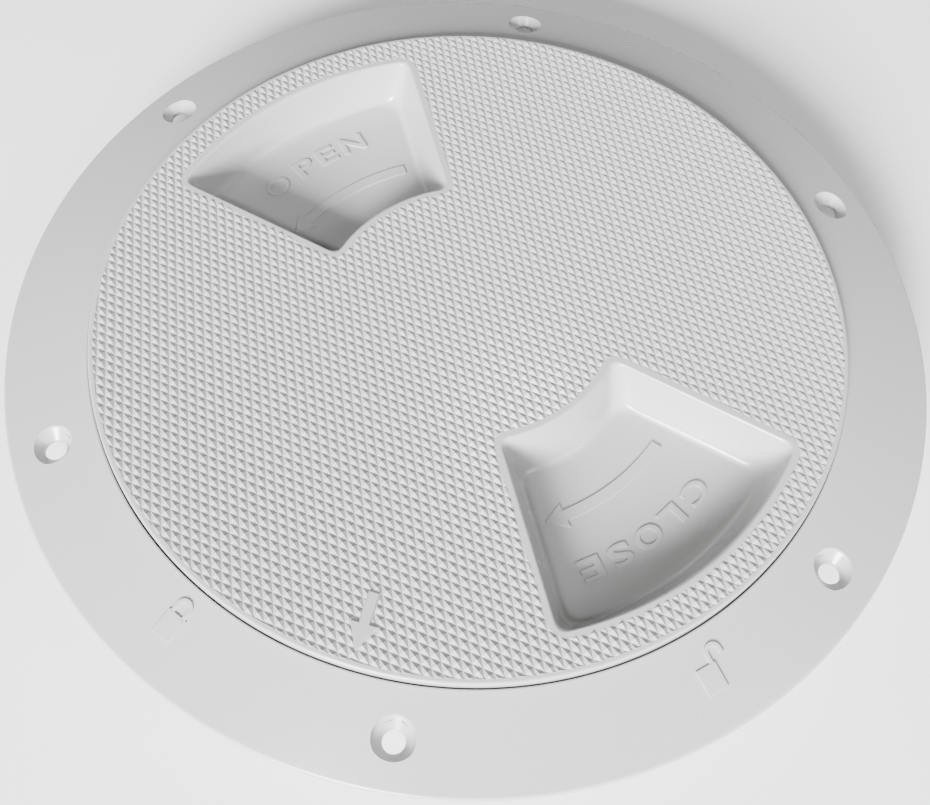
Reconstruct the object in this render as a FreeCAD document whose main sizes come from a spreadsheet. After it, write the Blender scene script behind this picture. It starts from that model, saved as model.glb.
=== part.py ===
import FreeCAD, Part
import math
import os
import Sketcher

# A round deck hatch: a mounting ring that is screwed over a cut-out in a deck, a lid that turns
# 70 degrees in four helical channels of the ring, and the sealing ring that the lid presses on the
# ring's seat.  Millimetres and degrees.  +Z is up, z = 0 is the flange's underside, which lies on
# the deck, and the origin is on the hatch's axis.

SIZES = {
    # mounting ring
    "flange_radius": 125.0,
    "edge_height": 1.5,
    "edge_round": 1.1,
    "lip_radius": 101.8,
    "lip_height": 7.15,
    "lip_round": 0.6,
    "flange_wall": 2.4,
    "recess_wall_radius": 104.6,
    "outer_band_radius": 118.0,
    "ledge_height": 2.6,
    "ledge_radius": 100.85,
    "seat_height": 0.75,
    "bore_radius": 99.0,
    "spigot_radius": 102.2,
    "spigot_depth": 22.0,
    "stiffener_count": 24.0,
    "stiffener_width": 2.0,
    # screw holes
    "hole_circle_radius": 113.7,
    "hole_count": 6.0,
    "hole_radius": 2.75,
    "boss_radius": 6.4,
    "boss_height": 2.6,
    "sink_radius": 5.2,
    "sink_height": 3.5,
    # helical channels of the ring and lugs of the lid, with the lid locked
    "thread_lead": 24.0,
    "thread_starts": 4.0,
    "ramp_radius": 95.6,
    "ramp_thickness": 2.6,
    "ramp_span": 70.5,
    "shelf_thickness": 2.0,
    "channel_start": 58.5,
    "lug_radius": 98.4,
    "lug_top": -7.85,
    "lug_height": 3.2,
    "lug_span": 16.0,
    "lug_first": 45.0,
    "lug_play": 0.3,
    "stop_span": 2.0,
    # lid, with its heights at the locked end and its first pocket on its own X axis
    "lid_radius": 101.4,
    "lid_top": 7.67,
    "lid_plate": 3.0,
    "lid_round": 1.0,
    "rim_bottom": 3.37,
    "rim_inner_radius": 99.6,
    "skirt_radius": 95.0,
    "skirt_inner_radius": 92.2,
    "skirt_bottom": -12.0,
    "rest_turn": 23.0,
    "rest_angle": 137.0,
    "rib_depth": 8.0,
    "rib_width": 2.0,
    "hub_radius": 34.0,
    "hub_inner_radius": 32.0,
    "rib_count": 24.0,
    # finger pockets
    "pocket_count": 2.0,
    "pocket_depth": 12.5,
    "pocket_wall": 2.5,
    "mouth_inner_radius": 40.5,
    "mouth_outer_radius": 91.4,
    "mouth_inner_half": 19.2,
    "mouth_outer_half": 39.5,
    "floor_inner_radius": 45.3,
    "floor_outer_radius": 88.2,
    "floor_inner_half": 17.4,
    "floor_outer_half": 34.5,
    "pocket_corner": 3.5,
    "mouth_round": 2.0,
    "floor_round": 3.0,
    # raised marks
    "mark_height": 0.5,
    "pointer_angle": 126.0,
    "pointer_tail": 83.5,
    "pointer_neck": 91.2,
    "pointer_tip": 97.7,
    "pointer_half_width": 1.25,
    "pointer_head_half": 3.35,
    "turn_arrow_radius": 60.4,
    "turn_arrow_half_width": 1.5,
    "turn_arrow_tail": 19.5,
    "turn_arrow_neck": 15.3,
    "turn_arrow_tip": 20.7,
    "turn_arrow_head_half": 3.7,
    # padlock marks on the flange
    "padlock_radius": 111.0,
    "padlock_locked_angle": 240.0,
    "padlock_open_angle": 308.3,
    "padlock_height": 0.45,
    "padlock_sink": 0.3,
    "padlock_half_width": 2.7,
    "padlock_back": 2.0,
    "padlock_front": 4.3,
    "shackle_outer": 2.25,
    "shackle_inner": 1.2,
    "shackle_centre": 4.0,
    "shackle_shift": 3.35,
    "shackle_free_end": 2.8,
    # sealing ring, at the locked end
    "seal_radius": 97.3,
    "seal_section": 2.0,
    "seal_height": 2.37,
}

doc = FreeCAD.newDocument("DeckHatch")


def value(words):
    """Works out a sum of products of named sizes and numbers, such as 'lug_top + lead * span / 360'."""
    total = 0.0
    term = 1.0
    dividing = False
    for word in words.split():
        if word in ("+", "-"):
            total += term
            term = 1.0 if word == "+" else -1.0
        elif word in ("*", "/"):
            dividing = word == "/"
        else:
            size = SIZES[word] if word in SIZES else float(word)
            term = term / size if dividing else term * size
            dividing = False
    return total + term


def bind(item, field, words):
    """Ties a property to the sheet: each named size becomes a reference to its cell."""
    terms = ["Sizes." + word if word in SIZES else word for word in words.split()]
    item.setExpression(field, " ".join(terms))


def make_sheet():
    """One row for each driving size: its name, and its value under that name as alias."""
    sheet = doc.addObject("Spreadsheet::Sheet", "Sizes")
    for row, (name, size) in enumerate(SIZES.items(), start=1):
        sheet.set("A%d" % row, name)
        sheet.set("B%d" % row, "%g" % size)
        sheet.setAlias("B%d" % row, name)
    doc.recompute()


def new_body(label):
    body = doc.addObject("PartDesign::Body", label)
    body.Label = label
    return body


def origin_plane(body, role):
    for feature in body.Origin.OriginFeatures:
        if feature.Role == role:
            return feature
    raise RuntimeError("no plane " + role)


def new_sketch(body, name, role):
    sketch = body.newObject("Sketcher::SketchObject", name)
    sketch.AttachmentSupport = [(origin_plane(body, role), "")]
    sketch.MapMode = "FlatFace"
    return sketch


def turn_sketch(sketch, degrees):
    """Turns a sketch of the XZ plane about the body's own axis."""
    upright = FreeCAD.Vector(0, 1, 0)
    sketch.AttachmentOffset = FreeCAD.Placement(FreeCAD.Vector(), FreeCAD.Rotation(upright, degrees))


def pin_point(sketch, edge, end, across, up):
    """Fixes one end of an edge at two sums of named sizes."""
    for kind, axis, words in (("DistanceX", -2, across), ("DistanceY", -1, up)):
        if abs(value(words)) < 1e-9:
            sketch.addConstraint(Sketcher.Constraint("PointOnObject", edge, end, axis))
            continue
        place = sketch.addConstraint(Sketcher.Constraint(kind, -1, 1, edge, end, value(words)))
        bind(sketch, "Constraints[%d]" % place, words)


def polygon(sketch, corners):
    """Draws a closed outline of straight edges through corners given as sums of named sizes."""
    points = [FreeCAD.Vector(value(across), value(up), 0) for across, up in corners]
    first = sketch.GeometryCount
    count = len(points)
    for index, point in enumerate(points):
        sketch.addGeometry(Part.LineSegment(point, points[(index + 1) % count]), False)
    for index in range(count):
        following = first + (index + 1) % count
        sketch.addConstraint(Sketcher.Constraint("Coincident", first + index, 2, following, 1))
    for index, (across, up) in enumerate(corners):
        pin_point(sketch, first + index, 1, across, up)


def sector(sketch, inner, outer, inner_half, outer_half):
    """Draws a pocket's outline: two arcs about the axis, joined by two straight sides."""
    zero = FreeCAD.Vector()
    upright = FreeCAD.Vector(0, 0, 1)
    inner_angle = math.asin(value(inner_half) / value(inner))
    outer_angle = math.asin(value(outer_half) / value(outer))
    near = Part.ArcOfCircle(Part.Circle(zero, upright, value(inner)), -inner_angle, inner_angle)
    far = Part.ArcOfCircle(Part.Circle(zero, upright, value(outer)), -outer_angle, outer_angle)
    sketch.addGeometry([near, far], False)
    sketch.addGeometry(Part.LineSegment(near.StartPoint, far.StartPoint), False)
    sketch.addGeometry(Part.LineSegment(near.EndPoint, far.EndPoint), False)
    for arc, words in ((0, inner), (1, outer)):
        sketch.addConstraint(Sketcher.Constraint("Coincident", arc, 3, -1, 1))
        place = sketch.addConstraint(Sketcher.Constraint("Radius", arc, value(words)))
        bind(sketch, "Constraints[%d]" % place, words)
    for line, end in ((2, 1), (3, 2)):
        sketch.addConstraint(Sketcher.Constraint("Coincident", line, 1, 0, end))
        sketch.addConstraint(Sketcher.Constraint("Coincident", line, 2, 1, end))
    for arc, words in ((0, inner_half), (1, outer_half)):
        place = sketch.addConstraint(Sketcher.Constraint("DistanceY", -1, 1, arc, 2, value(words)))
        bind(sketch, "Constraints[%d]" % place, words)
        place = sketch.addConstraint(Sketcher.Constraint("DistanceY", arc, 1, -1, 1, value(words)))
        bind(sketch, "Constraints[%d]" % place, words)


def spin_profile(body, kind, name, sketch):
    """Turns a profile through a full circle about the sketch's upright axis."""
    feature = body.newObject(kind, name)
    feature.Profile = sketch
    feature.ReferenceAxis = (sketch, ["V_Axis"])
    feature.Angle = 360.0
    doc.recompute()
    return feature


def pad(body, name, sketch, height, both_ways=False):
    feature = body.newObject("PartDesign::Pad", name)
    feature.Profile = sketch
    bind(feature, "Length", height)
    feature.Midplane = both_ways
    doc.recompute()
    return feature


def helix(body, name, sketch, span):
    """Sweeps a profile of the XZ plane along the thread's helix through an angle."""
    feature = body.newObject("PartDesign::AdditiveHelix", name)
    feature.Profile = sketch
    feature.ReferenceAxis = (sketch, ["V_Axis"])
    feature.Mode = "pitch-height-angle"
    bind(feature, "Pitch", "thread_lead")
    bind(feature, "Height", "thread_lead * %s / 360" % span)
    doc.recompute()
    return feature


def ring_of(body, name, features, count):
    """Repeats features evenly about the body's axis and makes the pattern the body's tip."""
    pattern = body.newObject("PartDesign::PolarPattern", name)
    pattern.Originals = features
    pattern.Axis = (origin_plane(body, "Z_Axis"), [""])
    pattern.Angle = 360.0
    bind(pattern, "Occurrences", count)
    body.Tip = pattern
    doc.recompute()
    return pattern


def edges_where(feature, test):
    """Names the edges of a feature whose middle point passes a test of radius and height."""
    names = []
    for index, edge in enumerate(feature.Shape.Edges, start=1):
        middle = edge.valueAt((edge.FirstParameter + edge.LastParameter) / 2)
        if test(edge, math.hypot(middle.x, middle.y), middle.z):
            names.append("Edge%d" % index)
    return names


def round_edges(body, name, feature, radius, test):
    names = edges_where(feature, test)
    if not names:
        raise RuntimeError("no edges for " + name)
    rounding = body.newObject("PartDesign::Fillet", name)
    rounding.Base = (feature, names)
    bind(rounding, "Radius", radius)
    body.Tip = rounding
    doc.recompute()
    return rounding


def raise_sketch(sketch, height, degrees=0.0):
    """Lifts a sketch of the XY plane to a height and turns it about the body's axis."""
    turn = FreeCAD.Rotation(FreeCAD.Vector(0, 0, 1), degrees)
    sketch.AttachmentOffset = FreeCAD.Placement(FreeCAD.Vector(0, 0, value(height)), turn)
    bind(sketch, "AttachmentOffset.Base.z", height)


def box_profile(body, name, degrees, inner, outer, low, high):
    """Draws a rectangle in the upright plane that stands at an angle about the axis."""
    sketch = new_sketch(body, name, "XZ_Plane")
    turn_sketch(sketch, degrees)
    polygon(sketch, [(inner, low), (outer, low), (outer, high), (inner, high)])
    return sketch


def make_ring_shell(body):
    """The turned part of the ring: sloping flange, recess for the lid, seat and spigot."""
    slope_end = "edge_height + %.4f" % flange_rise(SIZES["outer_band_radius"])
    wall_end = "edge_height + %.4f" % flange_rise(SIZES["recess_wall_radius"])
    sketch = new_sketch(body, "RingProfile", "XZ_Plane")
    polygon(sketch, [
        ("bore_radius", "0 - spigot_depth"),
        ("spigot_radius - lip_round", "0 - spigot_depth"),
        ("spigot_radius", "lip_round - spigot_depth"),
        ("spigot_radius", "0"),
        ("recess_wall_radius", "0"),
        ("recess_wall_radius", wall_end + " - flange_wall"),
        ("outer_band_radius", slope_end + " - flange_wall"),
        ("outer_band_radius", "0"),
        ("flange_radius", "0"),
        ("flange_radius", "edge_height"),
        ("lip_radius", "lip_height"),
        ("lip_radius", "ledge_height"),
        ("ledge_radius", "ledge_height"),
        ("bore_radius", "seat_height"),
    ])
    shell = spin_profile(body, "PartDesign::Revolution", "RingShell", sketch)
    edge = value("flange_radius")
    lip = value("lip_radius")
    rim = round_edges(body, "OuterEdge", shell, "edge_round",
                      lambda e, r, z: abs(r - edge) < 0.01 and z > value("edge_height") - 0.01)
    round_edges(body, "LipEdge", rim, "lip_round",
                lambda e, r, z: abs(r - lip) < 0.01 and z > value("lip_height") - 0.01)


def flange_rise(radius):
    """How far the flange's top has risen above its outer edge at a radius."""
    run = SIZES["flange_radius"] - SIZES["lip_radius"]
    climb = SIZES["lip_height"] - SIZES["edge_height"]
    return climb * (SIZES["flange_radius"] - radius) / run


def make_stiffeners(body):
    """Radial webs under the flange, from the spigot to the outer band."""
    sketch = new_sketch(body, "StiffenerProfile", "XZ_Plane")
    polygon(sketch, [
        ("recess_wall_radius - 1", "0"),
        ("outer_band_radius + 1", "0"),
        ("outer_band_radius + 1", "edge_height"),
        ("recess_wall_radius - 1", "edge_height + 3.5"),
    ])
    web = pad(body, "Stiffener", sketch, "stiffener_width", both_ways=True)
    ring_of(body, "Stiffeners", [web], "stiffener_count")


def make_screw_holes(body):
    """Bosses under the flange, and through holes with sunk mouths for countersunk screws."""
    sketch = new_sketch(body, "BossOutline", "XY_Plane")
    circle = Part.Circle(FreeCAD.Vector(0, value("hole_circle_radius"), 0), FreeCAD.Vector(0, 0, 1),
                         value("boss_radius"))
    sketch.addGeometry(circle, False)
    pin_point(sketch, 0, 3, "0", "hole_circle_radius")
    place = sketch.addConstraint(Sketcher.Constraint("Radius", 0, value("boss_radius")))
    bind(sketch, "Constraints[%d]" % place, "boss_radius")
    boss = pad(body, "Boss", sketch, "boss_height")
    ring_of(body, "Bosses", [boss], "hole_count")

    sketch = new_sketch(body, "HoleProfile", "YZ_Plane")
    place = FreeCAD.Vector(value("hole_circle_radius"), 0, 0)
    sketch.AttachmentOffset = FreeCAD.Placement(place, FreeCAD.Rotation())
    bind(sketch, "AttachmentOffset.Base.x", "hole_circle_radius")
    polygon(sketch, [
        ("0", "0 - 1"),
        ("hole_radius", "0 - 1"),
        ("hole_radius", "sink_height - sink_radius + hole_radius"),
        ("sink_radius", "sink_height"),
        ("sink_radius", "lip_height + 1"),
        ("0", "lip_height + 1"),
    ])
    volume = body.Shape.Volume
    hole = spin_profile(body, "PartDesign::Groove", "Hole", sketch)
    ring_of(body, "Holes", [hole], "hole_count")
    if body.Shape.Volume > volume - 50.0:
        raise RuntimeError("the screw holes cut nothing")


def make_channels(body):
    """Four helical channels in the bore: a ramp that pulls a lug down, a shelf that lifts it, and a stop."""
    start = value("channel_start")
    inner = "ramp_radius"
    outer = "bore_radius + 0.8"
    back = "thread_lead * 10.5 / 360"
    low = "lug_top + lug_play - " + back
    sketch = box_profile(body, "RampProfile", start, inner, outer, low, low + " + ramp_thickness")
    ramp = helix(body, "Ramp", sketch, "ramp_span")
    top = "lug_top - lug_height - lug_play - " + back
    sketch = box_profile(body, "ShelfProfile", start, inner, outer, top + " - shelf_thickness", top)
    shelf = helix(body, "Shelf", sketch, "91")
    high = low + " + ramp_thickness + thread_lead * ramp_span / 360"
    sketch = box_profile(body, "StopProfile", start, inner, outer, top + " - shelf_thickness", high)
    stop = body.newObject("PartDesign::Revolution", "Stop")
    stop.Profile = sketch
    stop.ReferenceAxis = (sketch, ["V_Axis"])
    bind(stop, "Angle", "stop_span")
    doc.recompute()
    ring_of(body, "Channels", [ramp, shelf, stop], "thread_starts")


def lay_on_flange(sketch, bearing):
    """Lays a sketch of the XY plane on the sloping flange, with its X axis pointing outwards."""
    radius = value("padlock_radius")
    turn = math.radians(bearing)
    slope = math.degrees(math.atan(flange_rise(radius) / (value("flange_radius") - radius)))
    height = value("edge_height - padlock_sink") + flange_rise(radius)
    place = FreeCAD.Vector(radius * math.cos(turn), radius * math.sin(turn), height)
    heading = FreeCAD.Rotation(FreeCAD.Vector(0, 0, 1), bearing)
    tilt = FreeCAD.Rotation(FreeCAD.Vector(0, 1, 0), slope)
    sketch.AttachmentOffset = FreeCAD.Placement(place, heading.multiply(tilt))


def draw_shackle(sketch, shift, free_end):
    """Draws a padlock's shackle: a half ring with two legs, the second one ending at free_end."""
    upright = FreeCAD.Vector(0, 0, 1)
    centre = FreeCAD.Vector(-value("shackle_centre"), value(shift), 0)
    for words in ("shackle_outer", "shackle_inner"):
        circle = Part.Circle(centre, upright, value(words))
        arc = sketch.addGeometry(Part.ArcOfCircle(circle, math.pi / 2, 3 * math.pi / 2), False)
        place = sketch.addConstraint(Sketcher.Constraint("Radius", arc, value(words)))
        bind(sketch, "Constraints[%d]" % place, words)
        pin_point(sketch, arc, 3, "0 - shackle_centre", shift)
    for side, end in ((-1, "0 - padlock_back + 0.5"), (1, free_end)):
        corners = []
        for words in ("shackle_outer", "shackle_inner"):
            across = centre.y + side * value(words)
            start = FreeCAD.Vector(centre.x, across, 0)
            finish = FreeCAD.Vector(value(end), across, 0)
            leg = sketch.addGeometry(Part.LineSegment(start, finish), False)
            arc = 0 if words == "shackle_outer" else 1
            tangent_end = 2 if side < 0 else 1
            sketch.addConstraint(Sketcher.Constraint("Coincident", leg, 1, arc, tangent_end))
            sketch.addConstraint(Sketcher.Constraint("Horizontal", leg))
            corners.append(leg)
        tip = sketch.addGeometry(Part.LineSegment(sketch.Geometry[corners[0]].EndPoint,
                                                  sketch.Geometry[corners[1]].EndPoint), False)
        sketch.addConstraint(Sketcher.Constraint("Coincident", tip, 1, corners[0], 2))
        sketch.addConstraint(Sketcher.Constraint("Coincident", tip, 2, corners[1], 2))
        sketch.addConstraint(Sketcher.Constraint("Vertical", tip))
        place = sketch.addConstraint(Sketcher.Constraint("DistanceX", -1, 1, tip, 1, value(end)))
        bind(sketch, "Constraints[%d]" % place, end)


def make_padlock(body, name, bearing, shift, free_end):
    """A raised padlock on the flange: its body lies outwards and its shackle points at the lid."""
    sketch = new_sketch(body, name + "BodyOutline", "XY_Plane")
    lay_on_flange(sketch, bearing)
    polygon(sketch, [
        ("0 - padlock_back", "0 - padlock_half_width"),
        ("padlock_front", "0 - padlock_half_width"),
        ("padlock_front", "padlock_half_width"),
        ("0 - padlock_back", "padlock_half_width"),
    ])
    pad(body, name + "Body", sketch, "padlock_sink + padlock_height")
    sketch = new_sketch(body, name + "ShackleOutline", "XY_Plane")
    lay_on_flange(sketch, bearing)
    draw_shackle(sketch, shift, free_end)
    pad(body, name + "Shackle", sketch, "padlock_sink + padlock_height")


def make_ring():
    body = new_body("mounting_ring")
    make_ring_shell(body)
    make_stiffeners(body)
    make_screw_holes(body)
    make_channels(body)
    make_padlock(body, "Locked", value("padlock_locked_angle"), "0", "0 - padlock_back + 0.5")
    make_padlock(body, "Open", value("padlock_open_angle"), "shackle_shift", "0 - shackle_free_end")
    return body


def make_lid_plate(body):
    """The turned part of the lid: plate, rim, skirt and the stiffening hub below."""
    below = "lid_top - lid_plate"
    sketch = new_sketch(body, "LidProfile", "XZ_Plane")
    polygon(sketch, [
        ("0", "lid_top"),
        ("lid_radius", "lid_top"),
        ("lid_radius", "rim_bottom"),
        ("rim_inner_radius", "rim_bottom"),
        ("rim_inner_radius", below),
        ("skirt_radius", below),
        ("skirt_radius", "skirt_bottom"),
        ("skirt_inner_radius", "skirt_bottom"),
        ("skirt_inner_radius", below),
        ("hub_radius", below),
        ("hub_radius", below + " - rib_depth"),
        ("hub_inner_radius", below + " - rib_depth"),
        ("hub_inner_radius", below),
        ("0", below),
    ])
    plate = spin_profile(body, "PartDesign::Revolution", "Plate", sketch)
    edge = value("lid_radius")
    round_edges(body, "LidEdge", plate, "lid_round",
                lambda e, r, z: abs(r - edge) < 0.01 and z > value("lid_top") - 0.01)

    sketch = box_profile(body, "RibProfile", 0, "hub_radius - 0.5", "skirt_inner_radius + 0.5",
                         below + " - rib_depth", below + " + 0.5")
    rib = pad(body, "Rib", sketch, "rib_width", both_ways=True)
    ring_of(body, "Ribs", [rib], "rib_count")


def pocket_loft(body, kind, name, margin, mouth_height, floor_height):
    """A tapering block with the pocket's outline, grown sideways by a margin."""
    sections = []
    for level, height in (("mouth", mouth_height), ("floor", floor_height)):
        sketch = new_sketch(body, name + level.capitalize(), "XY_Plane")
        raise_sketch(sketch, height)
        sector(sketch, level + "_inner_radius - " + margin, level + "_outer_radius + " + margin,
               level + "_inner_half + " + margin, level + "_outer_half + " + margin)
        sections.append(sketch)
    loft = body.newObject(kind, name)
    loft.Profile = sections[0]
    loft.Sections = sections[1:]
    loft.Ruled = True
    doc.recompute()
    return loft


def make_pockets(body):
    """Two opposite finger pockets: sloping walls and a flat floor, rounded at mouth and floor."""
    floor = "lid_top - pocket_depth"
    shell = pocket_loft(body, "PartDesign::AdditiveLoft", "PocketShell", "pocket_wall",
                        "lid_top - lid_round", floor + " - pocket_wall")
    ring_of(body, "PocketShells", [shell], "pocket_count")
    volume = body.Shape.Volume
    hollow = pocket_loft(body, "PartDesign::SubtractiveLoft", "PocketHollow", "0", "lid_top", floor)
    hollows = ring_of(body, "PocketHollows", [hollow], "pocket_count")
    if body.Shape.Volume > volume - 20000.0:
        raise RuntimeError("the pockets cut nothing")
    return hollows


def pocket_edge(edge, radius, height):
    """True for the four sloping corner edges of a pocket's hollow."""
    ends = [point.Point.z for point in edge.Vertexes]
    if len(ends) != 2:
        return False
    top = value("lid_top")
    floor = value("lid_top - pocket_depth")
    return abs(max(ends) - top) < 0.01 and abs(min(ends) - floor) < 0.01


def round_pockets(body, hollows):
    corners = round_edges(body, "PocketCorners", hollows, "pocket_corner", pocket_edge)
    top = value("lid_top")
    floor = value("lid_top - pocket_depth")
    inside = value("mouth_outer_radius") + 0.5
    mouths = round_edges(body, "PocketMouths", corners, "mouth_round",
                         lambda e, r, z: abs(z - top) < 0.01 and r < inside)
    round_edges(body, "PocketFloors", mouths, "floor_round",
                lambda e, r, z: abs(z - floor) < 0.01 and r < inside)


def make_lugs(body):
    """Four lugs outside the skirt, whose faces follow the thread."""
    half = "thread_lead * lug_span / 720"
    start = value("lug_first - lug_span / 2")
    sketch = box_profile(body, "LugProfile", start, "skirt_radius - 0.8", "lug_radius",
                         "lug_top - lug_height - " + half, "lug_top - " + half)
    lug = helix(body, "Lug", sketch, "lug_span")
    ring_of(body, "Lugs", [lug], "thread_starts")


def make_pointer(body):
    """A raised arrow on the lid that points outwards, at the marks on the ring."""
    sketch = new_sketch(body, "PointerOutline", "XY_Plane")
    raise_sketch(sketch, "lid_top - 0.2", value("pointer_angle"))
    polygon(sketch, [
        ("pointer_tail", "0 - pointer_half_width"),
        ("pointer_neck", "0 - pointer_half_width"),
        ("pointer_neck", "0 - pointer_head_half"),
        ("pointer_tip", "0"),
        ("pointer_neck", "pointer_head_half"),
        ("pointer_neck", "pointer_half_width"),
        ("pointer_tail", "pointer_half_width"),
    ])
    pad(body, "Pointer", sketch, "mark_height + 0.2")


def make_turn_arrow(body, name, middle, sense):
    """A raised curved arrow on a pocket's floor, which points the way that the lid turns."""
    low = "lid_top - pocket_depth - 0.2"
    degree = value("turn_arrow_radius") * math.pi / 180.0
    tail = value("turn_arrow_tail") / degree
    neck = value("turn_arrow_neck") / degree
    start = middle - tail if sense > 0 else middle - neck
    sketch = box_profile(body, name + "Shaft", start, "turn_arrow_radius - turn_arrow_half_width",
                         "turn_arrow_radius + turn_arrow_half_width", low, low + " + 0.2 + mark_height")
    shaft = body.newObject("PartDesign::Revolution", name)
    shaft.Profile = sketch
    shaft.ReferenceAxis = (sketch, ["V_Axis"])
    shaft.Angle = tail + neck
    doc.recompute()
    sketch = new_sketch(body, name + "Head", "XY_Plane")
    raise_sketch(sketch, low, middle + sense * neck)
    length = "turn_arrow_tip - turn_arrow_neck"
    tip = length if sense > 0 else "turn_arrow_neck - turn_arrow_tip"
    polygon(sketch, [
        ("turn_arrow_radius - turn_arrow_head_half", "0"),
        ("turn_arrow_radius + turn_arrow_head_half", "0"),
        ("turn_arrow_radius - 1", tip),
    ])
    pad(body, name + "Tip", sketch, "0.2 + mark_height")


def make_lid():
    body = new_body("lid")
    make_lid_plate(body)
    hollows = make_pockets(body)
    round_pockets(body, hollows)
    make_lugs(body)
    make_pointer(body)
    make_turn_arrow(body, "OpenArrow", 0.0, 1)
    make_turn_arrow(body, "CloseArrow", 180.0, -1)
    body.Placement = FreeCAD.Placement(FreeCAD.Vector(0, 0, 1), FreeCAD.Rotation(value("rest_angle"), 0, 0))
    bind(body, "Placement.Base.z", "thread_lead * rest_turn / 360")
    bind(body, "Placement.Rotation.Angle", "rest_angle")
    doc.recompute()
    return body


def make_seal():
    """The sealing ring, in the groove between the lid's skirt and rim."""
    seal = doc.addObject("Part::Torus", "lid_seal")
    seal.Label = "lid_seal"
    bind(seal, "Radius1", "seal_radius")
    bind(seal, "Radius2", "seal_section")
    bind(seal, "Placement.Base.z", "seal_height + thread_lead * rest_turn / 360")
    doc.recompute()
    return seal


def check_document(pieces):
    for item in doc.Objects:
        if "Invalid" in item.State or "Error" in item.State:
            raise RuntimeError("%s failed: %s" % (item.Name, item.State))
    for piece in pieces:
        shape = piece.Shape
        if shape.isNull() or not shape.isValid() or len(shape.Solids) != 1:
            raise RuntimeError("%s is not one valid solid" % piece.Label)
        print("%s: volume %.1f mm3, box %s" % (piece.Label, shape.Volume, shape.BoundBox))


def main():
    make_sheet()
    pieces = [make_ring(), make_lid(), make_seal()]
    check_document(pieces)
    os.makedirs("parts", exist_ok=True)
    for piece in pieces:
        piece.Shape.exportStep("parts/%s.step" % piece.Label)


main()
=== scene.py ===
import math

import bmesh
import bpy
from bpy.props import (FloatProperty, FloatVectorProperty, IntProperty, PointerProperty,
                       StringProperty)
from bpy.types import Operator, Panel, PropertyGroup
from mathutils import Matrix, Vector


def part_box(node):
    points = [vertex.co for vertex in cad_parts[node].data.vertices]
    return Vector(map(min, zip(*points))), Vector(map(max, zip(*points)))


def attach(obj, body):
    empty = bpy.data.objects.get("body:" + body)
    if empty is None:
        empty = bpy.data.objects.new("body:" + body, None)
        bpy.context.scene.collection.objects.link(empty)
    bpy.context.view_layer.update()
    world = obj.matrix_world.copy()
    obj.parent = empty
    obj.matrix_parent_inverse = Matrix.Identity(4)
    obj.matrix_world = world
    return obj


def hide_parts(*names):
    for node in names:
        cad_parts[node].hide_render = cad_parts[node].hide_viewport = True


bl_info = {
    "name": "Deck Hatch",
    "version": (1, 0, 0),
    "blender": (4, 5, 0),
    "location": "View3D > Sidebar > Deck Hatch",
    "description": "Builds the visible mouldings, tread, marks and seal of a twist-lock deck hatch",
    "category": "Object",
}

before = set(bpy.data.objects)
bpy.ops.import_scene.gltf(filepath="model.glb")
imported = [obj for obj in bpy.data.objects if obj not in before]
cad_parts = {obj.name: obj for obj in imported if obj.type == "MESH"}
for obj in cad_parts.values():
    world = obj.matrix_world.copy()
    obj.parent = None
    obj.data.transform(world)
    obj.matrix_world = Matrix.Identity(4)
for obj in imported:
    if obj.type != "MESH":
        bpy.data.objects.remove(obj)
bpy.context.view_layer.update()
RING_LOW, RING_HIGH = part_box("mounting_ring")
SEAL_LOW, SEAL_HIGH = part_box("lid_seal")

MM = 0.001
UP = Vector((0.0, 0.0, 1.0))
CENTRE = (0.0, 0.0, 0.0)
FULL_TURN = 2 * math.pi

# Roundings of the edges that are hardly seen
BAND_ROUND = 0.25 * MM
FINE = 0.3 * MM
SMALL = 0.4 * MM
MEDIUM = 0.5 * MM
WIDE = 0.8 * MM

# How far a tool reaches past the faces that it joins or cuts, and how far it stays off a flush one
REACH = 1.0 * MM
SHY = 0.02 * MM
# How much of a mark lies below the surface that it stands on
ROOT = 0.3 * MM
# Distances for merging vertices, and the bend in degrees up to which faces are joined into one
MERGE = 1e-6
POLE_MERGE = 1e-7
FLAT_BEND = 0.05
# Bends in degrees past which an edge shows as sharp
BODY_BEND = 32.0
TREAD_BEND = 20.0
MARK_BEND = 40.0
SEAL_BEND = 60.0


def setting(kind, default, description, **details):
    """A setting that still waits for its name."""
    return lambda name: kind(name=name, description=description, default=default, **details)


def number(default, description, **details):
    return setting(FloatProperty, default, description, **details)


def whole_number(default, description):
    return setting(IntProperty, default, description)


def text(default, description):
    return setting(StringProperty, default, description)


def length(default, description):
    """A size in metres with a millimetre default."""
    return number(default * MM, description, unit="LENGTH", precision=5)


def angle(default, description):
    """An angle in radians with a default in degrees."""
    return number(math.radians(default), description, unit="ROTATION")


def vector(default, description, **details):
    return setting(FloatVectorProperty, default, description, size=len(default), **details)


def lengths(defaults, description):
    """Sizes in metres with millimetre defaults."""
    return vector([size * MM for size in defaults], description, unit="LENGTH", precision=5)


def angles(defaults, description):
    """Angles in radians with defaults in degrees."""
    return vector([math.radians(turn) for turn in defaults], description, unit="ROTATION")


def colour(default, description):
    return vector(default, description, min=0.0, max=1.0, subtype="COLOR")


def settings_group(group):
    """Names each of a group's settings after its attribute."""
    for key, make in group.__annotations__.items():
        group.__annotations__[key] = make(key.replace("_", " ").capitalize())
    return group


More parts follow.
